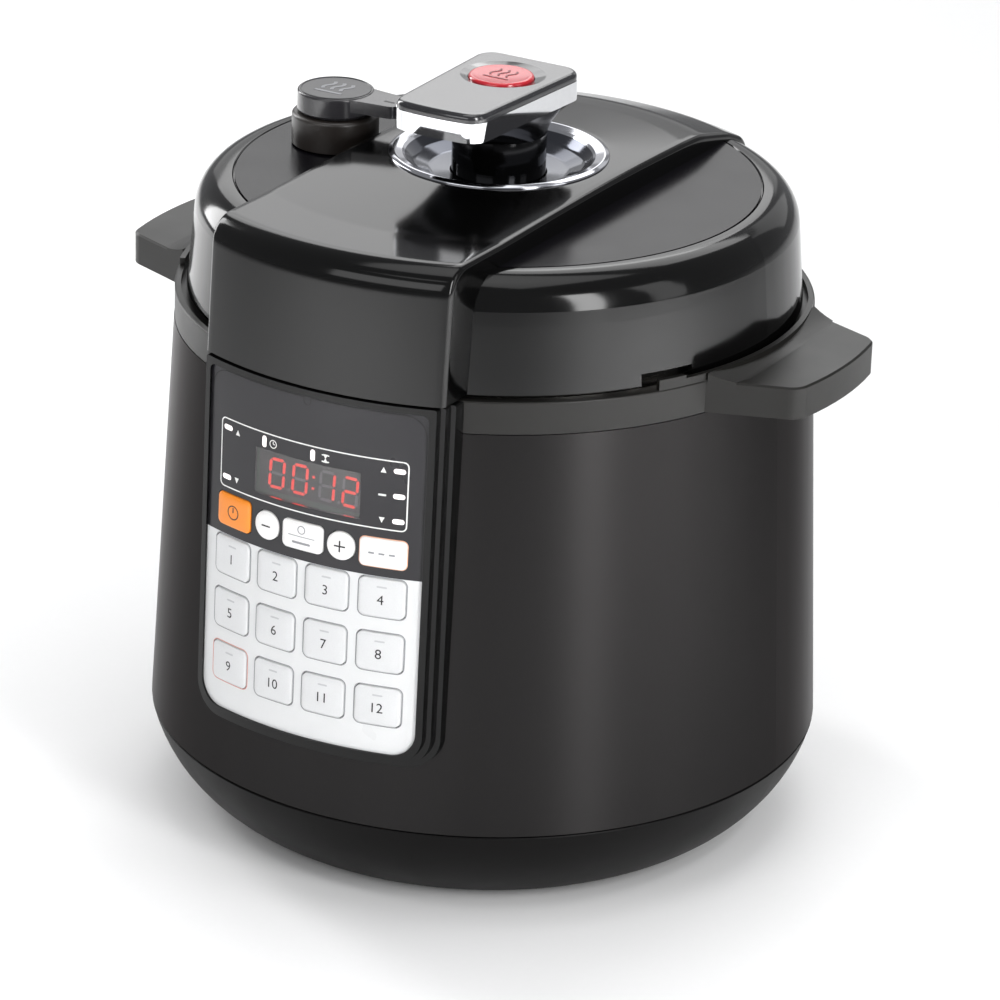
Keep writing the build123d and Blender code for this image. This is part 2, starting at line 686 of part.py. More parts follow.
def release_button():
    cap = disc(BUTTON_R, 330, 336.2)
    cap = fillet(cap.edges().group_by(Axis.Z)[-1], 1.2)
    return cap + disc(16.2, 328, 331) + disc(BUTTON_SHAFT_R, LEVER_Z + 4, 328)


def release_lever():
    """Bar from under the button's shaft to a fork under the valve's lower flange."""
    lever = block(-84, 5, -5.5, 5.5, LEVER_Z - 2.5, LEVER_Z + 3)
    lever += block(-84, -60, -14, 10, LEVER_Z - 2.5, LEVER_Z + 1.5)
    lever -= disc(9.6, 260, 290, VALVE_X, VALVE_Y)
    lever -= block(-120, VALVE_X, -30, 30, 260, 290)
    return lever - Pos(LEVER_X, 0, LEVER_Z) * Rot(90, 0, 0) * Cylinder(LEVER_PIN_R + 0.06, 30)


def vent_shield():
    cap = tube(9.6, 8.8, 235, LID_PLATE_LOW_Z, VALVE_X, VALVE_Y)
    cap += disc(9.6, 234.2, 235, VALVE_X, VALVE_Y)
    for angle in range(0, 180, 45):
        slot = Pos(VALVE_X, VALVE_Y, 239) * Rot(0, 0, angle) * Box(40, 2.2, 4)
        cap -= slot
    return cap


def valve_seat():
    seat = disc(4.95, 241.5, 246, VALVE_X, VALVE_Y) + disc(10, LID_PLATE_TOP_Z, 247, VALVE_X, VALVE_Y)
    seat += disc(SEAT_R, 247, 296, VALVE_X, VALVE_Y)
    return seat - disc(1.5, 240, 300, VALVE_X, VALVE_Y)


def valve_weight():
    """Weighted cup over the seat, with its visible collar and the flange the fork lifts."""
    form = turned((0, 296.6), (SEAT_R + 0.4, 296.6), (SEAT_R + 0.4, 278.2), (12.4, 278.2),
                  (12.4, 280.0), (11.4, 280.0), (11.4, 300), (COLLAR_R - 2, 300),
                  (COLLAR_R - 2, 290.4), (COLLAR_R, 290.4, 0.4), (COLLAR_R, COLLAR_TOP_Z, 1.6),
                  (0, COLLAR_TOP_Z))
    form -= disc(4.06, 300.5, 310)
    return Pos(VALVE_X, VALVE_Y, 0) * form


def valve_knob():
    """Turning cap with its lever arm, on a short pivot in the weight."""
    cap = turned((0, COLLAR_TOP_Z + 0.4), (KNOB_R - 1, COLLAR_TOP_Z + 0.4), (KNOB_R, COLLAR_TOP_Z + 1.6),
                 (KNOB_R, KNOB_TOP_Z, 1), (0, KNOB_TOP_Z))
    outline = make_face(Polyline((0, -12), (20, -9), (KNOB_ARM, -7.5), (KNOB_ARM, 7.5), (20, 9),
                                 (0, 12), close=True))
    outline = fillet(outline.vertices().group_by(Axis.X)[-1], 4)
    cap += extrude(Pos(0, 0, KNOB_TOP_Z - 6) * outline, 5.6)
    cap += disc(4, 301, COLLAR_TOP_Z + 1)
    return Pos(VALVE_X, VALVE_Y, 0) * cap


def float_valve():
    pin = disc(4.4, 289, 297.6, FLOAT_X, FLOAT_Y) + disc(3, 240.4, 290, FLOAT_X, FLOAT_Y)
    return pin + disc(4.6, 237.4, 240.4, FLOAT_X, FLOAT_Y)


def condensation_cup():
    """Open cup that hangs by its side flanges from the rails at the back."""
    reach = panel_radius(BEZEL_TIERS[-1][1]) + BEZEL_LIP
    cup = block(-CUP_HALF, CUP_HALF, CUP_INNER_Y, reach, CUP_LOW_Z, CUP_TOP_Z)
    cup = fillet(cup.edges().filter_by(Axis.Z), 2)
    cup += block(-26.2, 26.2, CUP_INNER_Y + 2, reach - 2, CUP_TOP_Z - 2, CUP_TOP_Z)
    return cup - block(-CUP_HALF + CUP_WALL, CUP_HALF - CUP_WALL, CUP_INNER_Y + CUP_WALL,
                       reach - CUP_WALL, CUP_LOW_Z + CUP_WALL, 240)


def write(name, shape):
    export_step(shape, f"parts/{name}.step")


os.makedirs("parts", exist_ok=True)
PIECES = (base_shell, rubber_feet, case_screws, support_plate, outer_shell, rim_frame, panel_bezel,
          panel_overlay, display_window, display_module, indicator_lamps, control_board,
          key_switches, ribbon_cable, power_board, power_parts, heater_leads, power_inlet,
          pressure_can, heating_plate, heat_sensor, inner_pot, sealing_ring, ring_carrier,
          lid_plate, lid_cover, lid_insets, lid_band, bezel_ring, handle_base, handle_trim,
          handle_top, lid_screws, release_button, release_lever, vent_shield, valve_seat,
          valve_weight, valve_knob, float_valve, condensation_cup)
for piece in PIECES:
    write(piece.__name__, piece())
for key_name, *key_place in key_table():
    write(key_name, panel_key(*key_place))
write("sensor_spring", coil(SUPPORT_TOP_Z, SENSOR_UNDER_Z, 6))
write("button_spring", coil(315, 328, 4))
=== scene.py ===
from math import cos, radians, sin, tau

import bpy
import numpy as np
from mathutils import Matrix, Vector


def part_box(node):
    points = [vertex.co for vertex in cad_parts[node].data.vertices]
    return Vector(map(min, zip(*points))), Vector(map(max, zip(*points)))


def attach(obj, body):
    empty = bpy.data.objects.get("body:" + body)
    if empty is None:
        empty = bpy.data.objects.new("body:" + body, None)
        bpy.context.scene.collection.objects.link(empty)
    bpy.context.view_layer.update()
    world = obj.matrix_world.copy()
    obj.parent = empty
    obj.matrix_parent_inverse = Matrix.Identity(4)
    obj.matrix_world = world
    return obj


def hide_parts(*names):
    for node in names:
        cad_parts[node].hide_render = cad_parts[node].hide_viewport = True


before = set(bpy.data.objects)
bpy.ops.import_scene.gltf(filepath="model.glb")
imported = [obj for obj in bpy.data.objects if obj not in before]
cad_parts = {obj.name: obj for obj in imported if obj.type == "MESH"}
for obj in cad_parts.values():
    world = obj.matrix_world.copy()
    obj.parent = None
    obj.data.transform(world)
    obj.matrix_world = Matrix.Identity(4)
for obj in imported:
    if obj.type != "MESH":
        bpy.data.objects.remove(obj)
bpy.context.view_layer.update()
MM = 0.001


# --- Base, feet and case screws -------------------------------------------------------
# The base is a bowl injection-moulded in black polypropylene with a fine satin grain.
# It stands on four pressed-in rubber feet, and six steel screws hold it to the housing.
def linear(colour):
    """sRGB hex colour as linear red, green, blue and alpha: c/12.92 near black, else a power."""
    parts = np.array([int(colour[i : i + 2], 16) for i in (1, 3, 5)]) / 255
    curve = np.where(parts <= 0.04045, parts / 12.92, ((parts + 0.055) / 1.055) ** 2.4)
    return (*curve, 1.0)


def add(tree, kind, inputs=None, **options):
    """Adds one shader node, sets its options and its sockets, and links those given as sockets."""
    node = tree.nodes.new("ShaderNode" + kind)
    for option, value in options.items():
        setattr(node, option, value)
    for socket, value in (inputs or {}).items():
        if isinstance(value, bpy.types.NodeSocket):
            tree.links.new(value, node.inputs[socket])
        else:
            node.inputs[socket].default_value = value
    return node


def finish(name, colour, roughness, grain_mm, depth_mm, stretch=(1, 1, 1), uneven=0.15, tint=0.06,
           **sockets):
    """Material with a grain of a given size and depth that also varies its shade, and a slow drift
    in gloss.
    """
    made = bpy.data.materials.new(name)
    made.use_nodes = True
    tree = made.node_tree
    tree.nodes.clear()
    place = add(tree, "TexCoord").outputs["Object"]
    across = add(tree, "Mapping", {"Vector": place, "Scale": stretch}).outputs["Vector"]
    grain = add(tree, "TexNoise", {"Vector": across, "Scale": 1 / (grain_mm * MM), "Detail": 3})
    drift = add(tree, "TexNoise", {"Vector": across, "Scale": 1 / (38 * MM), "Detail": 4})
    gloss = add(tree, "MapRange", {"Value": drift.outputs["Fac"], "From Min": 0.2, "From Max": 0.8,
                                   "To Min": roughness * (1 - uneven),
                                   "To Max": roughness * (1 + uneven)})
    base = linear(colour)
    low = tuple(c * (1 - tint) for c in base[:3]) + (1.0,)
    high = tuple(min(1, c * (1 + tint)) for c in base[:3]) + (1.0,)
    shade = add(tree, "Mix", {"Factor": grain.outputs["Fac"], "A": low, "B": high},
                data_type="RGBA")
    relief = add(tree, "Bump", {"Height": grain.outputs["Fac"], "Strength": 1.0,
                                "Distance": depth_mm * MM})
    body = add(tree, "BsdfPrincipled", {"Base Color": shade.outputs["Result"],
                                        "Roughness": gloss.outputs["Result"],
                                        "Normal": relief.outputs["Normal"], **sockets})
    add(tree, "OutputMaterial", {"Surface": body.outputs["BSDF"]})
    return made


def banded(material, level_mm, soft_mm, below=None, above=None):
    """Changes a finish's colour at a height: below and above are sockets or colours that replace
    its own shade on that side, and the step is as wide as twice the soft length."""
    tree = material.node_tree
    shader = next(n for n in tree.nodes if n.type == "BSDF_PRINCIPLED")
    own = shader.inputs["Base Color"].links[0].from_socket
    place = add(tree, "TexCoord").outputs["Object"]
    height = add(tree, "SeparateXYZ", {"Vector": place}).outputs["Z"]
    step = add(tree, "MapRange", {"Value": height, "From Min": (level_mm - soft_mm) * MM,
                                  "From Max": (level_mm + soft_mm) * MM})
    both = add(tree, "Mix", {"Factor": step.outputs["Result"], "A": below or own,
                             "B": above or own}, data_type="RGBA")
    tree.links.new(both.outputs["Result"], shader.inputs["Base Color"])


def dress(material, *nodes):
    """Gives CAD nodes their finish."""
    for name in nodes:
        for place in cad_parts[name].material_slots:
            place.material = material


# Satin black polypropylene: a spark-eroded mould leaves a grain of about half a millimetre.
BASE_SATIN = finish("satin_black_polypropylene", "#060505", 0.46, 0.6, 0.012, IOR=1.22)
# Black rubber: dull, slightly uneven.
FOOT_RUBBER = finish("black_silicone_rubber", "#161616", 0.85, 0.9, 0.03, IOR=1.43)
# Zinc-plated screw steel.
SCREW_STEEL = finish("zinc_plated_steel", "#b4b2ac", 0.35, 0.5, 0.01, Metallic=1.0)
dress(BASE_SATIN, "base_shell")
dress(FOOT_RUBBER, "rubber_feet")
dress(SCREW_STEEL, "case_screws")

# --- Support plate, pressure can, heating plate and heat sensor ------------------------
# The plate and the can are pressed steel; the can's flange carries the bayonet lugs.
# The heating plate is cast aluminium with its faces turned, and the sensor is on a spring.
PRESSED_STEEL = finish("galvanised_sheet_steel", "#a9aaa8", 0.42, 2.4, 0.006, Metallic=1.0)
DRAWN_STEEL = finish("drawn_stainless_steel", "#bdbab4", 0.27, 0.5, 0.004, (1, 1, 12), Metallic=1.0)
CAST_ALUMINIUM = finish("turned_cast_aluminium", "#a7a7a6", 0.4, 0.8, 0.02, Metallic=1.0)
SPRING_STEEL = finish("drawn_spring_steel", "#9c9a97", 0.3, 0.3, 0.003, Metallic=1.0)
dress(PRESSED_STEEL, "support_plate")
dress(DRAWN_STEEL, "pressure_can", "heat_sensor")
dress(CAST_ALUMINIUM, "heating_plate")
dress(SPRING_STEEL, "sensor_spring", "button_spring")

# --- Boards, wires and power inlet ----------------------------------------------------
# Two glass-fibre boards with green solder mask: the power board behind, the control board
# behind the panel. A grey ribbon joins them, and silicone-covered leads feed the heater.
SOLDER_MASK = finish("green_solder_mask", "#1d5233", 0.3, 1.8, 0.02, tint=0.3, IOR=1.55)
PART_PLASTIC = finish("black_epoxy_parts", "#1b1c1e", 0.45, 0.7, 0.02, IOR=1.55)
LEAD_COVER = finish("silicone_lead_cover", "#8c1f17", 0.55, 0.8, 0.01, IOR=1.43)
RIBBON = finish("grey_vinyl_ribbon", "#8f9092", 0.5, 1.2, 0.12, (0.05, 0.05, 1), tint=0.2, IOR=1.53)
dress(SOLDER_MASK, "control_board", "power_board")
dress(PART_PLASTIC, "key_switches", "power_parts", "power_inlet")
dress(LEAD_COVER, "heater_leads")
dress(RIBBON, "ribbon_cable")

# --- Outer shell ----------------------------------------------------------------------
# A cone rolled from thin steel, brushed around and coated in a very dark tinted lacquer. The
# brush lines draw every reflection out into an upright band.
SHELL_LACQUER = finish("dark_metallic_lacquer", "#2d2c2c", 0.32, 0.35, 0.002, (1, 1, 0.1),
                       Metallic=1.0, **{"Anisotropic": 0.8, "Anisotropic Rotation": 0.25,
                                        "Specular Tint": linear("#c2c1c1")})
dress(SHELL_LACQUER, "outer_shell")

# --- Rim frame and side handles -------------------------------------------------------
# One ABS moulding in satin graphite grey closes the shell at the top. It carries the two
# hollow side handles, the locating tabs and, behind, the rails of the condensation cup.
RIM_SATIN = finish("satin_graphite_abs", "#181715", 0.4, 0.5, 0.01, IOR=1.4)
dress(RIM_SATIN, "rim_frame")

# --- Panel bezel ----------------------------------------------------------------------
# A gloss black ABS surround clipped over the front of the shell, stepped along its sides.
BEZEL_ABS = finish("black_abs_bezel", "#0a0a0a", 0.2, 0.9, 0.003, IOR=1.33)
dress(BEZEL_ABS, "panel_bezel")

# --- Printed cover plate --------------------------------------------------------------
# A thin polycarbonate plate over the bezel: charcoal above, silver-white below, with the
# lines screen-printed on it. Print stands a few hundredths of a millimetre proud.
PANEL_TOP_Z = 240.0
PANEL_TOP_R = 152.0
PANEL_FLARE = 5 / 140
FIELD_EDGE_Z = 163.5
INK = 0.05


def grid(rows, columns, around=False, over=False):
    """Quads of a grid of points stored row by row; around joins the last column to the first,
    and over joins the last row to the first."""
    i = np.arange(rows if over else rows - 1)[:, None]
    j = np.arange(columns if around else columns - 1)[None, :]
    down, right = (i + 1) % rows, (j + 1) % columns
    corners = (i * columns + j, i * columns + right, down * columns + right, down * columns + j)
    return np.stack(np.broadcast_arrays(*corners), -1).reshape(-1, 4)


def put(name, shape, material, body, *stands_for, slot=None, crease=40):
    """Makes a piece from (points in mm, faces), shades it smooth below the crease angle, and
    sets it on its body."""
    points, faces = shape
    mesh = bpy.data.meshes.new(name)
    mesh.from_pydata((np.asarray(points) * MM).tolist(), [], [list(f) for f in faces])
    mesh.shade_smooth()
    mesh.set_sharp_from_angle(angle=radians(crease))
    mesh.materials.append(material)
    piece = bpy.data.objects.new(name, mesh)
    bpy.context.scene.collection.objects.link(piece)
    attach(piece, body)
    if stands_for:
        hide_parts(*stands_for)
    return piece


def joined(shapes):
    """Several shapes as one: their points in a row, with the faces counted on."""
    points, faces, start = [], [], 0
    for these, quads in shapes:
        points.append(these)
        faces.extend([[v + start for v in f] for f in quads])
        start += len(these)
    return np.concatenate(points), faces


def rounded_loop(x, z, width, height, corner, count=64):
    """Outline of a rounded rectangle: a circle's points pushed out to the four corner centres,
    then spaced evenly along the outline."""
    turn = (np.arange(96) + 0.5) / 96 * tau
    px = x + np.sign(np.cos(turn)) * (width / 2 - corner) + corner * np.cos(turn)
    pz = z + np.sign(np.sin(turn)) * (height / 2 - corner) + corner * np.sin(turn)
    px, pz = np.append(px, px[0]), np.append(pz, pz[0])
    along = np.append(0, np.cumsum(np.hypot(np.diff(px), np.diff(pz))))
    even = np.linspace(0, along[-1], count, endpoint=False)
    return np.stack((np.interp(even, along, px), np.interp(even, along, pz)), -1)


def on_panel(flat, lift):
    """Lays points (x, z) on the panel's cone: y is minus the root of the local radius squared
    less x squared, with the radius grown by the lift."""
    x, z = flat[..., 0], flat[..., 1]
    radius = PANEL_TOP_R + (PANEL_TOP_Z - z) * PANEL_FLARE + lift
    return np.stack((x, -np.sqrt(radius**2 - x**2), z), -1)


def closed_loft(loops):
    """Closed body through loops of equal length: quads between them and a fan at each end."""
    rings, count = loops.shape[:2]
    ends = np.stack((loops[0].mean(0), loops[-1].mean(0)))
    points = np.concatenate((loops.reshape(-1, 3), ends))
    step, last = np.arange(count), (rings - 1) * count
    low = np.stack((step, np.full(count, rings * count), (step + 1) % count), -1)
    top = np.full(count, rings * count + 1)
    high = np.stack((last + step, last + (step + 1) % count, top), -1)
    return points, [*grid(rings, count, around=True).tolist(), *low.tolist(), *high.tolist()]


def patch(outline, low, high, rings=5):
    """A printed patch: its outline raised from low to high, then drawn in towards its middle."""
    middle = outline.mean(0)
    loops = [on_panel(outline, low)]
    for share in np.linspace(1, 0.12, rings):
        loops.append(on_panel(middle + (outline - middle) * share, high))
    return closed_loft(np.array(loops)[:, ::-1])


def line_loop(x, z, width, height, corner, thick, low, high, count=160):
    """A printed outline: a band between two rounded rectangles, raised from low to high."""
    outer = rounded_loop(x, z, width, height, corner, count)
    inner = rounded_loop(x, z, width - 2 * thick, height - 2 * thick, corner - thick, count)
    edges = ((outer, low), (outer, high), (inner, high), (inner, low))
    loops = np.array([on_panel(edge, lift) for edge, lift in edges])[:, ::-1]
    return loops.reshape(-1, 3), grid(4, count, around=True, over=True).tolist()


def filleted(corners, steps=12):
    """Path through (radius, height, corner radius) points: each corner becomes an arc that
    leaves one side and meets the next at a tangent."""
    flat = np.array([c[:2] for c in corners], float)
    path = [flat[0]]
    for before, here, after, corner in zip(flat, flat[1:], flat[2:], corners[1:-1]):
        into, out = before - here, after - here
        into, out = into / np.linalg.norm(into), out / np.linalg.norm(out)
        half = np.arccos(np.clip(into @ out, -1, 1)) / 2
        middle = here + (into + out) / np.linalg.norm(into + out) * corner[2] / np.sin(half)
        start = here + into * corner[2] / np.tan(half) - middle
        end = here + out * corner[2] / np.tan(half) - middle
        share = np.linspace(0, 1, steps)[:, None]
        sweep = np.pi - 2 * half
        path.extend(middle + (np.sin((1 - share) * sweep) * start + np.sin(share * sweep) * end)
                    / np.sin(sweep))
    path.append(flat[-1])
    return np.array(path)


def evenly(path, count):
    """The same path as points at equal distances along it."""
    length = np.append(0, np.cumsum(np.hypot(*np.diff(path, axis=0).T)))
    even = np.linspace(0, length[-1], count)
    return np.stack([np.interp(even, length, path[:, i]) for i in (0, 1)], -1)


def stroke(path, half, low, high):
    """A raised line along a flat path: a rectangular section whose sides lie the half width to
    the left and right of the path, from low to high, closed at both ends."""
    way = np.gradient(path, axis=0)
    way /= np.linalg.norm(way, axis=1)[:, None]
    off = half * np.stack((-way[:, 1], way[:, 0]), -1)
    flat = np.stack((path - off, path + off, path + off, path - off), 1)
    level = np.broadcast_to(np.array((low, low, high, high))[:, None], (len(path), 4, 1))
    last = 4 * len(path) - 4
    ends = [[3, 2, 1, 0], [last, last + 1, last + 2, last + 3]]
    faces = [*grid(len(path), 4, around=True).tolist(), *ends]
    return np.concatenate((flat, level), -1).reshape(-1, 3), faces


def bar(x, z, width, height, corner=0.3, low=0.0, high=INK):
    """A printed bar with rounded ends."""
    return patch(rounded_loop(x, z, width, height, corner, 32), low, high, 3)


def triangle(x, z, size, up, low=0.0, high=INK):
    """A printed triangle that points up or down."""
    corners = np.array([(-size, -size * up), (size, -size * up), (0, size * up)]) * 0.55 + (x, z)
    return patch(corners[:: 1 if up > 0 else -1], low, high, 2)


def disc_ring(x, z, radius, thick, low=0.0, high=INK):
    """A printed ring."""
    return line_loop(x, z, 2 * radius, 2 * radius, radius - 0.001, thick, low, high, 40)


# Printed polycarbonate: both fields come from the height on the panel, with a soft step.
PLATE_PRINT = finish("printed_polycarbonate", "#201f23", 0.3, 0.5, 0.002, IOR=1.42)
tree = PLATE_PRINT.node_tree
grain = next(n for n in tree.nodes if n.type == "TEX_NOISE").outputs["Fac"]
silver = add(tree, "Mix", {"Factor": grain, "A": linear("#d6d7d8"), "B": linear("#dcdddd")},
             data_type="RGBA")
banded(PLATE_PRINT, FIELD_EDGE_Z, 0.05, below=silver.outputs["Result"])
dress(PLATE_PRINT, "panel_overlay")

# Screen-printing inks: matt and thin, with a faintly uneven gloss.
INK_WHITE = finish("white_screen_ink", "#e9e9e7", 0.5, 0.3, 0.002)
INK_BLACK = finish("black_screen_ink", "#1c1b1d", 0.5, 0.3, 0.002)
INK_GREY = finish("grey_screen_ink", "#8b8c90", 0.5, 0.3, 0.002)
# Pale grey for the key ticks: painted shade of their small recesses.
TICK_PAINTED_SHADE = finish("pale_grey_painted_tick_shade", "#b9babd", 0.5, 0.3, 0.002)
# Near-black for the edge groove: painted shade standing in for the groove's shadow.
GROOVE_PAINTED_SHADE = finish("painted_groove_shade", "#09090a", 0.6, 0.3, 0.002)
INK_PEACH = finish("peach_screen_ink", "#e7ae8e", 0.5, 0.3, 0.002)
INK_RED = finish("red_screen_ink", "#d98d80", 0.5, 0.3, 0.002)

# Triangles and bars stand for more, middle and less; a clock and an hourglass for the times.
put("panel_frame_line", line_loop(0, 200.05, 92.6, 31.0, 2.4, 0.55, 0.0, INK, 260), INK_WHITE,
    "housing", slot="panel_print")
marks = [triangle(-36.4, 210.7, 2.2, 1), triangle(-36.4, 189.2, 2.2, -1),
         triangle(35.6, 211.0, 2.2, 1), bar(35.4, 199.9, 3.4, 0.9), triangle(35.6, 188.8, 2.2, -1),
         disc_ring(-16.6, 211.3, 1.9, 0.4), bar(-16.6, 211.9, 0.35, 1.3, 0.15),
         bar(-16.1, 211.3, 1.0, 0.35, 0.15), bar(9.6, 212.6, 3.6, 0.5, 0.2),
         bar(9.6, 209.8, 3.6, 0.5, 0.2), triangle(9.6, 212.0, 1.9, -1),
         triangle(9.6, 210.4, 1.9, 1)]
put("panel_marks", joined(marks), INK_WHITE, "housing", slot="panel_print")
# A fine groove follows the plate's edge round the charcoal field, with a small dip at the top.
# Its shade is painted: a thin near-black strip on the plate, not a cut groove.
groove_path = filleted([(-52.7, 164), (-52.7, 236.1, 9.4), (-1.7, 236.1, 0.3), (-1.7, 232.9, 1.6),
                        (1.7, 232.9, 1.6), (1.7, 236.1, 0.3), (52.7, 236.1, 9.4), (52.7, 164)])
groove, groove_faces = stroke(evenly(groove_path, 700), 0.22, 0.0, 0.03)
put("panel_edge_painted_groove_shade", (on_panel(groove[:, :2], groove[:, 2]), groove_faces), GROOVE_PAINTED_SHADE,
    "housing", slot="panel_print")

# --- Display --------------------------------------------------------------------------
# A red four-digit segment module sits behind a window of smoked polycarbonate. Each of
# the pill-shaped indicator lamps is a light pipe of frosted clear polycarbonate.
MODULE_FRONT = -147.0
DIGIT_HEIGHT = 12.6
DIGIT_WIDTH = 6.6
STROKE = 1.25
SLANT = 0.07
SEGMENT_RISE = 0.15
DOT_R = 0.65
SEGMENTS = {"a": (0, 1, True), "b": (0.5, 0.5, False), "c": (0.5, -0.5, False),
            "d": (0, -1, True), "e": (-0.5, -0.5, False), "f": (-0.5, 0.5, False),
            "g": (0, 0, True)}
LIT = {"0": "abcdef", "1": "bc", "2": "abged"}
DIGITS = (("0", -17.0), ("0", -5.7), ("1", 7.6), ("2", 18.9))
DIGIT_Z = 196.6


def segment(x, z, column, row, level):
    """One bar of a digit: a long hexagon with pointed ends, leaning a little to the right."""
    long = (DIGIT_WIDTH if level else DIGIT_HEIGHT / 2) / 2 - 0.35
    half = STROKE / 2
    shape = np.array([(-long, 0), (half - long, half), (long - half, half), (long, 0),
                      (long - half, -half), (half - long, -half)])
    shape = shape if level else shape[:, ::-1]
    flat = shape + (column * DIGIT_WIDTH, row * DIGIT_HEIGHT / 2)
    flat = np.stack((x + flat[:, 0] + SLANT * flat[:, 1], z + flat[:, 1]), -1)
    back = np.insert(flat, 1, MODULE_FRONT, axis=1)
    front = np.insert(flat, 1, MODULE_FRONT - SEGMENT_RISE, axis=1)
    loops = np.stack((back, front))
    return closed_loft(loops if level else loops[:, ::-1])


def glow(name, colour, strength):
    """Light-emitting plastic: an even glow, a little stronger in patches."""
    made = finish(name, colour, 0.4, 2.0, 0.0)
    shading = made.node_tree
    lamp = next(n for n in shading.nodes if n.type == "BSDF_PRINCIPLED")
    own = lamp.inputs["Base Color"].links[0].from_socket
    shading.links.new(own, lamp.inputs["Emission Color"])
    lamp.inputs["Emission Strength"].default_value = strength
    return made


DIGIT_RED = glow("lit_red_segment", "#ff3a2c", 1.7)
DIGIT_OFF = finish("unlit_grey_segment", "#77787a", 0.5, 0.6, 0.004)
MODULE_BLACK = finish("display_module_black", "#17171a", 0.5, 0.6, 0.01)
LAMP_CLEAR = glow("frosted_lamp_white", "#f4ecec", 0.7)
lit, unlit = [], []
for figure, digit_x in DIGITS:
    for letter, (column, row, level) in SEGMENTS.items():
        where = lit if letter in LIT[figure] else unlit
        where.append(segment(digit_x, DIGIT_Z, column, row, level))


def dot(x, z):
    """A round dot on the front of the module."""
    turn = np.linspace(0, tau, 12, endpoint=False)
    depth = np.full(12, MODULE_FRONT)
    ring = np.stack((x + DOT_R * np.cos(turn), depth, z + DOT_R * np.sin(turn)), -1)
    return closed_loft(np.stack((ring, ring - (0, SEGMENT_RISE, 0)))[:, ::-1])


lit += [dot(1.0, DIGIT_Z + 2.6), dot(0.7, DIGIT_Z - 2.6)]
unlit += [dot(13.4, DIGIT_Z - 6), dot(-11.2, DIGIT_Z - 6)]
put("display_lit_segments", joined(lit), DIGIT_RED, "housing", slot="display_black")
put("display_unlit_segments", joined(unlit), DIGIT_OFF, "housing", slot="display_black")
# Smoked polycarbonate: a clear plastic with a light grey tint.
SMOKED = finish("smoked_polycarbonate", "#b7b4b6", 0.1, 0.8, 0.0, IOR=1.58, uneven=0.05,
                **{"Transmission Weight": 1.0})
dress(SMOKED, "display_window")
dress(MODULE_BLACK, "display_module")
dress(LAMP_CLEAR, "indicator_lamps")

# --- Keys -----------------------------------------------------------------------------
# Soft-touch caps moulded in ABS, each crowned like a small pillow, with a plunger behind
# that reaches its switch. The figures on them are pad-printed.
KEY_COLUMNS = (-37.3, -12.5, 12.3, 37.1)
KEY_ROWS = (154.1, 129.6, 105.1)
PROGRAM_PLACES = [(x, z) for z in KEY_ROWS for x in KEY_COLUMNS]
PRESSURE_PLACE = (-37.0, 174.9)
MINUS_PLACE = (-18.3, 174.7)
TIME_PLACE = (0.0, 174.5)
PLUS_PLACE = (18.3, 174.3)
SLOW_PLACE = (36.8, 174.1)
STOP_NUMBER = 9
PLUNGER_R = 2.4
PLUNGER_Y = -143.1
KEY_EDGE = 0.35
KEY_CROWN = 0.95
KEY_TOP = KEY_EDGE + KEY_CROWN
KEY_ROOT = -2.0
PROGRAM_KEY = (19.8, 17.2, 2.6)
KEY_OUTLINE = (21.2, 18.6, 3.2, 0.32)
CAP_EASE = 0.05


def key_cap(x, z, width, height, corner):
    """Pillow cap: its outline runs up from the root, then shrinks by the share s towards its
    middle while it rises as edge + crown * (1 - s^4)^(1/2), so the sides are round and the top
    nearly flat. The root closes on a round plunger."""
    outline = rounded_loop(x, z, width, height, corner, 96)[::-1]
    middle = np.array((x, z))
    turn = -np.arange(96) / 96 * tau + np.arctan2(*(outline[0] - middle)[::-1])
    circle = middle + PLUNGER_R * np.stack((np.cos(turn), np.sin(turn)), -1)
    loops = [np.insert(circle, 1, PLUNGER_Y, axis=1), on_panel(circle, KEY_ROOT),
             on_panel(outline, KEY_ROOT), on_panel(outline, KEY_EDGE)]
    for share in (0.99, 0.975, 0.95, 0.92, 0.88, 0.82, 0.74, 0.62, 0.46, 0.28, 0.1):
        rise = KEY_EDGE + KEY_CROWN * np.sqrt(1 - share**4)
        loops.append(on_panel(middle + (outline - middle) * share, rise))
    return closed_loft(np.array(loops))


KEY_WHITE = finish("silver_white_abs", "#d3d4d5", 0.34, 0.5, 0.003, IOR=1.54)
KEY_BRIGHT = finish("white_abs", "#ecebea", 0.32, 0.5, 0.003, IOR=1.54)
KEY_ORANGE = finish("orange_abs", "#f08a1c", 0.34, 0.5, 0.003, IOR=1.54)


def figure_on(text, x, z, size, low, high):
    """A printed number, from the built-in letter shapes laid on the panel."""
    curve = bpy.data.curves.new("figure", "FONT")
    curve.body, curve.size, curve.align_x, curve.align_y = text, size, "CENTER", "CENTER"
    curve.extrude = 0.5
    curve.resolution_u = 4
    holder = bpy.data.objects.new("figure", curve)
    mesh = bpy.data.meshes.new_from_object(holder)
    points = np.array([v.co for v in mesh.vertices])
    faces = [list(f.vertices) for f in mesh.polygons]
    bpy.data.objects.remove(holder)
    flat = points[:, :2] + (x, z)
    lift = low + (points[:, 2] + 0.5) * (high - low)
    return on_panel(flat, lift), faces


keys = [("key_pressure", *PRESSURE_PLACE, 19.2, 14.4, 2.4, KEY_ORANGE, "key_orange"),
        ("key_minus", *MINUS_PLACE, 12.6, 12.6, 6.2, KEY_BRIGHT, "key_white"),
        ("key_time", *TIME_PLACE, 20.0, 12.6, 2.6, KEY_BRIGHT, "key_white"),
        ("key_plus", *PLUS_PLACE, 12.6, 12.6, 6.2, KEY_BRIGHT, "key_white"),
        ("key_slow", *SLOW_PLACE, 20.0, 12.6, 2.2, KEY_BRIGHT, "key_white")]
for number, place in enumerate(PROGRAM_PLACES, 1):
    keys.append((f"key_prog_{number:02d}", *place, *PROGRAM_KEY, KEY_WHITE, "key_white"))
for name, x, z, width, height, corner, material, slot in keys:
    put(name + "_cap", key_cap(x, z, width, height, corner - CAP_EASE), material, name, name,
        slot=slot)
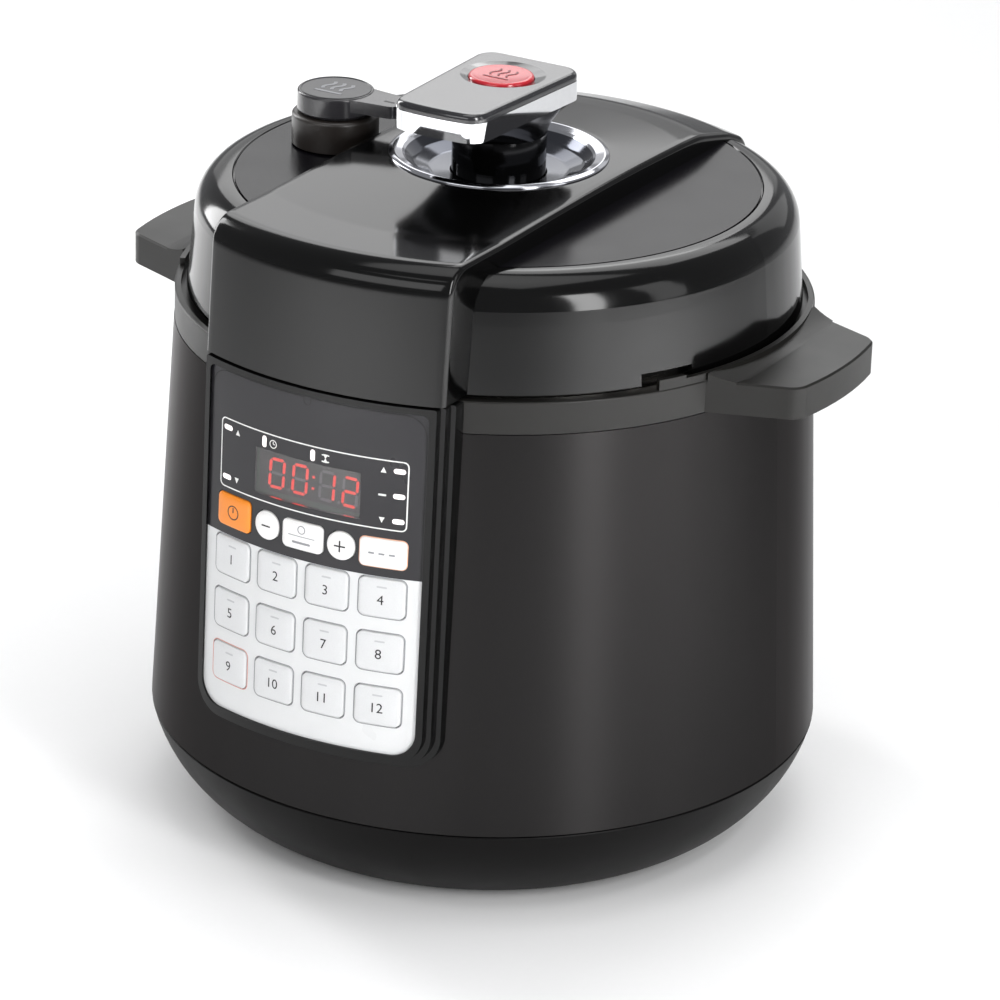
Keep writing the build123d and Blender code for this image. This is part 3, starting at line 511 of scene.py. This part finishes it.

# A small tick is moulded into the cap above each figure; its shade is painted as a pale grey mark.
sunk = {"low": KEY_TOP - 0.15, "high": KEY_TOP - 0.025}
raised = {"low": KEY_TOP - 0.06, "high": KEY_TOP + 0.03}
for number, (x, z) in enumerate(PROGRAM_PLACES, 1):
    key = f"key_prog_{number:02d}"
    put(key + "_figure", figure_on(str(number), x, z - 0.8, 6.2, **raised), INK_BLACK, key,
        slot="panel_print")
    put(key + "_tick_painted_shade", bar(x + 0.4, z + 5.2, 4.4, 0.7, 0.3, **sunk), TICK_PAINTED_SHADE, key,
        slot="panel_print")
put("key_minus_sign", bar(*MINUS_PLACE, 4.6, 0.7, 0.2, **raised), INK_BLACK, "key_minus",
    slot="panel_print")
put("key_plus_sign", joined([bar(*PLUS_PLACE, 5.2, 0.7, 0.2, **raised),
                             bar(*PLUS_PLACE, 0.7, 5.2, 0.2, **raised)]),
    INK_BLACK, "key_plus", slot="panel_print")
x, z = TIME_PLACE
put("key_time_mark", joined([disc_ring(x, z + 3.0, 1.9, 0.4, **raised),
                             bar(x, z, 13.6, 0.35, 0.15, **raised),
                             bar(x, z - 2.9, 9.0, 1.0, 0.3, **raised)]),
    INK_GREY, "key_time", slot="panel_print")
x, z = PRESSURE_PLACE
put("key_pressure_mark", joined([disc_ring(x, z, 3.2, 0.5, **raised),
                                 bar(x, z + 1.1, 0.6, 2.4, 0.2, **raised)]),
    INK_BLACK, "key_pressure", slot="panel_print")
x, z = SLOW_PLACE
put("key_slow_mark", joined([bar(x + shift, z, 2.6, 0.8, 0.3, **raised)
                             for shift in (-4.4, 0, 4.4)]),
    INK_GREY, "key_slow", slot="panel_print")
# Each program key has a thin printed outline: grey, or red round the one that stops.
outlines = [line_loop(*place, *KEY_OUTLINE, 0.0, INK, 96) for place in PROGRAM_PLACES]
stop_outline = outlines.pop(STOP_NUMBER - 1)
put("key_outlines", joined(outlines), INK_GREY, "housing", slot="panel_print")
put("slow_key_outline", line_loop(*SLOW_PLACE, 20.8, 13.4, 2.6, 0.4, 0.0, INK, 96), INK_PEACH,
    "housing", slot="panel_print")
put("stop_key_outline", stop_outline, INK_RED, "housing", slot="panel_print")

# --- Inner pot, sealing ring and carrier ----------------------------------------------
# The pot is drawn aluminium with a non-stick coat; the ring is translucent silicone on a
# pressed steel carrier.
POT_COAT = finish("grey_nonstick_coat", "#4a4a4c", 0.38, 0.5, 0.02, Metallic=0.4, tint=0.2)
SILICONE = finish("milky_silicone", "#d9d6cd", 0.5, 1.0, 0.01, IOR=1.41)
dress(POT_COAT, "inner_pot")
dress(SILICONE, "sealing_ring")
dress(PRESSED_STEEL, "ring_carrier")

# --- Lid plate, release lever and small valves ----------------------------------------
# The pressed lid plate holds the bayonet lugs; an acetal lever under the cover passes the
# button's stroke on to the valve. The float valve's pin is steel.
LEVER_ACETAL = finish("natural_acetal", "#cfcabd", 0.45, 0.8, 0.008, IOR=1.48)
dress(DRAWN_STEEL, "lid_plate", "vent_shield", "valve_seat", "float_valve")
dress(LEVER_ACETAL, "release_lever")
dress(SCREW_STEEL, "lid_screws")

# --- Lid cover and insets -------------------------------------------------------------
# High-gloss black ABS for the cover; two satin dark-grey plates are let into its top.
GLOSS_BLACK = finish("high_gloss_black_abs", "#050505", 0.11, 1.4, 0.0006, IOR=1.39,
                     uneven=0.2)
INSET_SATIN = finish("satin_charcoal_abs", "#0d0c10", 0.22, 0.4, 0.004, IOR=1.24)
dress(GLOSS_BLACK, "lid_cover")
dress(INSET_SATIN, "lid_insets")

# --- Lid band -------------------------------------------------------------------------
# A gloss black arch snapped over the cover from front to back. Its front runs down in line
# with the panel as part of a circle about the axis, and its long edges are slightly eased.
BAND_HALF = 57.5
BAND_TOP = 299.3
EDGE = 1.3
WELL_R = 43.6
FALL_START, FALL_R, FALL = 50.0, 110.0, 1.8
SKIN_WALL = 1.0
SEAM_GAP = 0.05


def crown(radius):
    """Height of the band's top: level near the grip, then falling evenly outwards."""
    return BAND_TOP - FALL * np.clip((radius - FALL_START) / (FALL_R - FALL_START), 0, 1.1)


def band_half(path, feet, side):
    """Half of the band, as rows that climb the end and cross the top to the middle. Across, x
    runs from foot to foot: up the side wall, round the eased edge, over the skin and back. On
    the end, y is the root of the path's radius squared less x squared; on the top it runs
    evenly to the grip's well, or to the middle line beside it."""
    well = WELL_R * np.sin(np.linspace(-1, 1, 49) * np.pi / 2)
    beside = np.linspace(WELL_R, BAND_HALF - EDGE, 6)[1:]
    ease = np.linspace(0, np.pi / 2, 6)[1:]
    right = np.concatenate((beside, BAND_HALF - EDGE + EDGE * np.sin(ease), [BAND_HALF] * 3))
    sink = np.concatenate((beside * 0, EDGE * (1 - np.cos(ease)), [EDGE] * 3))
    reach = np.concatenate((beside * 0, ease * 0, [0.35, 0.7, 1.0]))
    x = np.concatenate((-right[::-1], well, right))
    sink = np.concatenate((sink[::-1], well * 0, sink))
    reach = np.concatenate((reach[::-1], well * 0, reach))
    slope = np.gradient(path, axis=0)
    normal = np.stack((slope[:, 1], -slope[:, 0]), -1)
    normal /= -np.linalg.norm(normal, axis=1)[:, None]
    radius = path[:, :1] + normal[:, :1] * sink
    height = path[:, 1:] + normal[:, 1:] * sink
    radius += (feet[:, :1] - radius) * reach
    height += (feet[:, 1:] - height) * reach
    end_y = side * np.sqrt(radius**2 - x**2)
    share = np.linspace(0, 1, 30)[1:, None]
    inner = side * np.sqrt(np.clip(WELL_R**2 - x**2, 0, None))
    top_y = end_y[-1] + (inner - end_y[-1]) * share
    top_z = crown(np.hypot(np.clip(np.abs(x), 0, BAND_HALF), top_y)) - sink
    top_z += (feet[-1, 1] - top_z) * reach
    y, z = np.concatenate((end_y, top_y)), np.concatenate((height, top_z))
    points = np.stack((np.broadcast_to(x, y.shape), y, z), -1)
    faces = grid(*y.shape)
    return points.reshape(-1, 3), (faces if side > 0 else faces[:, ::-1]).tolist()


def along(path, places, feet):
    """Feet for every point of a path, read between given feet by distance along the path."""
    length = np.append(0, np.cumsum(np.hypot(*np.diff(path, axis=0).T)))
    share = length / length[-1]
    feet = np.array(feet, float)
    return np.stack([np.interp(share, places, feet[:, i]) for i in (0, 1)], -1)


front_path = evenly(filleted([(150.8, 240.5), (146.9, crown(110), 11.0), (110, crown(110))]), 90)
rear_path = evenly(filleted([(136.4, 240.5), (134.2, 284.0, 10.0), (118, 291.6, 22.0),
                             (96, crown(110), 40.0), (84, crown(84))]), 110)
front_feet = along(front_path, (0, 0.6, 0.85, 1),
                   [(134.6, 240.5), (126, 285), (112, 289.2), (110, 289.2)])
rear_feet = along(rear_path, (0, 0.42, 0.62, 1),
                  [(134.4, 240.5), (127, 284.6), (112, 289.2), (84, 289.2)])
band = joined([band_half(front_path, front_feet, -1), band_half(rear_path, rear_feet, 1)])
# A round hole in the top lets the float pin rise: the quads over it go, and those around it
# are drawn to the circle.
FLOAT_PLACE = np.array((-20.0, 62.0))
FLOAT_HOLE_R = 4.7
TOP_SKIN_Z = 290
points, faces = band[0], np.array(band[1])
middles = points[faces].mean(1)
over = (np.hypot(*(middles[:, :2] - FLOAT_PLACE).T) < FLOAT_HOLE_R) & (middles[:, 2] > TOP_SKIN_Z)
around = np.intersect1d(faces[over], faces[~over])
away = points[around, :2] - FLOAT_PLACE
points[around, :2] = FLOAT_PLACE + away * (FLOAT_HOLE_R / np.hypot(*away.T))[:, None]
points[around, 2] = crown(np.hypot(*points[around, :2].T))
used, faces = np.unique(faces[~over], return_inverse=True)
band = points[used], faces.reshape(-1, 4).tolist()
lid_band = put("lid_band_skin", band, GLOSS_BLACK, "lid", "lid_band", slot="gloss_black")
# The open edges are marked sharp, so that the skin's shading stops at them.
corners = np.empty(len(lid_band.data.loops), int)
lid_band.data.loops.foreach_get("edge_index", corners)
sharp = np.empty(len(lid_band.data.edges), bool)
lid_band.data.edges.foreach_get("use_edge_sharp", sharp)
lid_band.data.edges.foreach_set("use_edge_sharp", sharp | (np.bincount(corners) == 1))
seam = lid_band.modifiers.new("seam", "WELD")
seam.merge_threshold = SEAM_GAP * MM
wall = lid_band.modifiers.new("wall", "SOLIDIFY")
wall.thickness = SKIN_WALL * MM
wall.offset = -1

# --- Chrome dish, grip and release button ---------------------------------------------
# The dish and the trim band are chrome-plated ABS, bright as a mirror. Stem and plug are
# gloss black, the top plate gloss dark grey, and the button a clear red acrylic with a
# pad-printed steam sign.
CHROME = finish("chrome_plated_abs", "#dfe0e2", 0.04, 3.0, 0.0008, uneven=0.4, Metallic=1.0)
# The dish is darker than its rim: a painted dark reflection, stepped in by height where the rim
# begins.
RIM_START = 299.6
CHROME_RIM_AND_PAINTED_DARK_DISH = finish("chrome_rim_and_painted_dark_dish", "#c4c5cb", 0.1, 3.0, 0.0008, uneven=0.4,
                     Metallic=1.0)
# Below the rim the chrome colour is darkened: painted reflection of the dark surroundings the dish
# mirrors.
banded(CHROME_RIM_AND_PAINTED_DARK_DISH, RIM_START, 0.1, below=linear("#54565d"))
GRIP_GREY = finish("gloss_dark_grey_abs", "#242427", 0.16, 1.0, 0.001, IOR=1.54,
                   **{"Coat Weight": 0.5, "Coat Roughness": 0.06})
BUTTON_RED = finish("translucent_red_acrylic", "#c8202f", 0.18, 0.8, 0.002, IOR=1.49,
                    **{"Coat Weight": 0.4, "Coat Roughness": 0.1, "Subsurface Weight": 0.3,
                       "Subsurface Scale": 0.004})


def ring_body(profile, count=192):
    """Closed ring turned about the z axis: its path of (radius, height) points runs up the
    outside, over the top and back underneath."""
    turn = np.arange(count) / count * tau
    radius, height = profile.T[:, :, None]
    rows = np.broadcast_arrays(radius * np.cos(turn), radius * np.sin(turn), height)
    return np.stack(rows, -1).reshape(-1, 3), grid(len(profile), count, around=True, over=True)


dish = filleted([(46, 299.4), (48.1, 299.4, 0.05), (48.1, 301, 0.8), (46, 302, 1.5),
                 (42, 300.6, 0.5), (37, 296, 6), (30, 293.2, 6), (21.2, 292.6, 0.05),
                 (21.2, 291.2, 0.05), (30.5, 291.8, 6), (38, 294.8, 6), (43.2, 298.8, 0.05),
                 (43.2, 299.4, 0.05), (44.5, 299.4)])
put("chrome_dish", ring_body(dish), CHROME_RIM_AND_PAINTED_DARK_DISH, "lid", "bezel_ring", slot="chrome_trim")
dress(CHROME, "handle_trim")
dress(GLOSS_BLACK, "handle_base")
dress(GRIP_GREY, "handle_top")
MARK_RED = finish("dark_red_pad_print", "#7a1420", 0.4, 0.3, 0.002)
BUTTON_TOP = 336.2


def lathe(profile, x, y, count=128):
    """Body turned about an upright axis through (x, y): circles at each (radius, height), from
    the lowest to the last, closed in the middle."""
    turn = np.arange(count) / count * tau
    radius, height = np.array(profile, float).T[:, :, None]
    rows = np.broadcast_arrays(x + radius * np.cos(turn), y + radius * np.sin(turn), height)
    return closed_loft(np.stack(rows, -1))


def steam_mark(x, y, z, size, thick=0.055):
    """Three waves over a bar: each wave runs along y with x moved by a sine."""
    rise = np.linspace(-1, 1, 25)
    lines = [np.stack((shift + 0.12 * np.sin(rise * np.pi), 0.55 * rise + 0.2), -1)
             for shift in (-0.48, 0, 0.48)]
    lines.append(np.array([(-0.72, -0.68), (0.72, -0.68)]))
    return joined([stroke((x, y) + size * line, thick * size, z - 0.15, z) for line in lines])


low_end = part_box("release_button")[0][2] / MM
button = [(5, low_end), (5, 328), (16.2, 328), (16.2, 331), (14.3, 331), (14.3, 334.9),
          (14.1, 335.6), (13.6, 336.05), (12.9, BUTTON_TOP), (12.2, 336.1), (11, 336.02),
          (5, 335.95), (1, 335.95)]
put("release_button_cap", lathe(button, 0, 0), BUTTON_RED, "button", "release_button",
    slot="button_red")
put("release_button_mark", steam_mark(0, 0.5, 336.12, 8.4), MARK_RED, "button", slot="button_red")

# --- Pressure valve -------------------------------------------------------------------
# A weighted cup in a satin black collar, and a glossier cap with a lever arm that turns
# on it. The cap's top has an inset disc with a steam mark.
COLLAR_SATIN = finish("satin_brown_black_phenolic", "#2c2724", 0.36, 0.5, 0.008, IOR=1.6)
CAP_GLOSS = finish("gloss_black_phenolic", "#353437", 0.16, 0.8, 0.002, IOR=1.6)
dress(COLLAR_SATIN, "valve_weight")
dress(CAP_GLOSS, "valve_knob")
VALVE_X, VALVE_Y, KNOB_TOP = -82.0, -3.0, 315.0
DISC_GREY = finish("satin_grey_phenolic", "#2a2a2d", 0.3, 0.5, 0.003, IOR=1.5)
disc = [(15.9, KNOB_TOP - 0.1), (15.9, KNOB_TOP + 0.25), (15.6, KNOB_TOP + 0.4),
        (15.2, KNOB_TOP + 0.4), (15.0, KNOB_TOP + 0.12), (1.0, KNOB_TOP + 0.12)]
put("valve_cap_disc", lathe(disc, VALVE_X, VALVE_Y), DISC_GREY, "knob", slot="valve_black")
put("valve_cap_mark", steam_mark(VALVE_X, VALVE_Y, KNOB_TOP + 0.22, 9.5, 0.09), INK_GREY, "knob",
    slot="valve_black")
dash = np.array([(VALVE_X + 26.5, VALVE_Y - 2), (VALVE_X + 31.5, VALVE_Y - 2)])
put("valve_arm_dash", stroke(dash, 0.6, KNOB_TOP - 0.5, KNOB_TOP - 0.33), INK_BLACK, "knob",
    slot="valve_black")

# --- Condensation cup -----------------------------------------------------------------
# A clear polycarbonate cup slides on two rails at the back and catches drops from the rim.
CUP_CLEAR = finish("clear_polycarbonate", "#e3e6e8", 0.08, 1.2, 0.001, IOR=1.58,
                   **{"Transmission Weight": 0.9})
dress(CUP_CLEAR, "condensation_cup")

# --- Studio ---------------------------------------------------------------------------
# A plain pale floor and large soft lights. Those behind show in the gloss tops, the strips at
# the sides draw bands down the shell, and the pools hang over the floor to show in the walls.
FLOOR_PAPER = finish("white_paper_sweep", "#f4f4f4", 0.8, 3.0, 0.0, tint=0.01)
floor = bpy.data.meshes.new("floor")
floor.from_pydata([(-9, -9, 0), (9, -9, 0), (9, 9, 0), (-9, 9, 0)], [], [(0, 1, 2, 3)])
floor.materials.append(FLOOR_PAPER)
floor_sheet = bpy.data.objects.new("floor", floor)
bpy.context.scene.collection.objects.link(floor_sheet)

world = bpy.data.worlds.new("studio")
world.use_nodes = True
world.node_tree.nodes["Background"].inputs["Color"].default_value = linear("#fbfcff")
world.node_tree.nodes["Background"].inputs["Strength"].default_value = 0.3
bpy.context.scene.world = world


def softbox(name, azimuth, reach, height, size, watts, look=(0.0, 0.0, 0.2), spread=180):
    """A rectangular lamp at an azimuth from the front and a distance from the axis, turned to
    face a point."""
    data = bpy.data.lights.new(name, "AREA")
    data.shape, data.size, data.size_y, data.energy = "RECTANGLE", *size, watts
    data.spread = radians(spread)
    lamp = bpy.data.objects.new(name, data)
    place = np.array((reach * sin(radians(azimuth)), -reach * cos(radians(azimuth)), height))
    away = place - look
    away /= np.linalg.norm(away)
    side = np.cross((0, 0, 1), away) if abs(away[2]) < 0.99 else np.array((1.0, 0, 0))
    side /= np.linalg.norm(side)
    turned = Matrix(np.stack((side, np.cross(away, side), away), -1).tolist())
    lamp.matrix_world = Matrix.LocRotScale(place.tolist(), turned, None)
    lamp.visible_camera = False
    bpy.context.scene.collection.objects.link(lamp)


def pool(name, azimuth, reach, height, size, watts, spread):
    """A lamp that hangs over the floor beside the cooker and faces straight down."""
    foot = (reach * sin(radians(azimuth)), -reach * cos(radians(azimuth)), 0.0)
    softbox(name, azimuth, reach, height, size, watts, foot, spread)


softbox("top_low", 212, 2.75, 0.85, (1.9, 0.6), 1.5)
softbox("top_mid", 214, 2.75, 1.45, (1.9, 0.6), 6.5)
softbox("top_high", 214, 2.6, 2.1, (1.9, 0.7), 11)
softbox("top_right", 178, 2.75, 1.2, (1.0, 1.2), 2)
softbox("key_front", -5, 1.9, 1.2, (1.4, 0.8), 8)
softbox("strip_right", 95, 1.9, 0.9, (0.5, 1.5), 4.5)
softbox("strip_mid", 64, 1.9, 0.9, (0.4, 1.5), 25)
softbox("strip_left", -102, 1.9, 0.9, (0.5, 1.5), 19)
softbox("back_high", 190, 2.0, 2.4, (1.6, 1.2), 17)
pool("overhead", 0, 0.0, 1.9, (1.2, 1.2), 3, 110)
pool("front_pool", -12, 1.15, 1.1, (1.0, 0.8), 9, 80)
pool("right_pool", 85, 1.15, 1.1, (0.7, 0.7), 12, 80)
pool("left_pool", -105, 1.1, 1.1, (0.7, 0.7), 2.5, 80)

# The camera looks down from the front right; lean is its small roll, tilt and pan.
AZIMUTH, ELEVATION, DISTANCE, TARGET_Z = radians(30), radians(22.35), 2.117, 0.160
side = np.array((cos(AZIMUTH), sin(AZIMUTH), 0))
away = np.array((sin(AZIMUTH) * cos(ELEVATION), -cos(AZIMUTH) * cos(ELEVATION), sin(ELEVATION)))
level = Matrix(np.stack((side, np.cross(away, side), away)).tolist())
lean = (Matrix.Rotation(radians(-1.73), 3, "Z") @ Matrix.Rotation(radians(0.573), 3, "X")
        @ Matrix.Rotation(radians(0.138), 3, "Y"))
camera = bpy.data.objects.new("camera", bpy.data.cameras.new("camera"))
camera.data.lens, camera.data.sensor_width = 171.25, 36.0
camera.matrix_world = Matrix.LocRotScale((away * DISTANCE + (0, 0, TARGET_Z)).tolist(),
                                         (lean @ level).transposed(), None)
bpy.context.scene.collection.objects.link(camera)
bpy.context.scene.camera = camera
bpy.context.scene.view_settings.view_transform = "Standard"
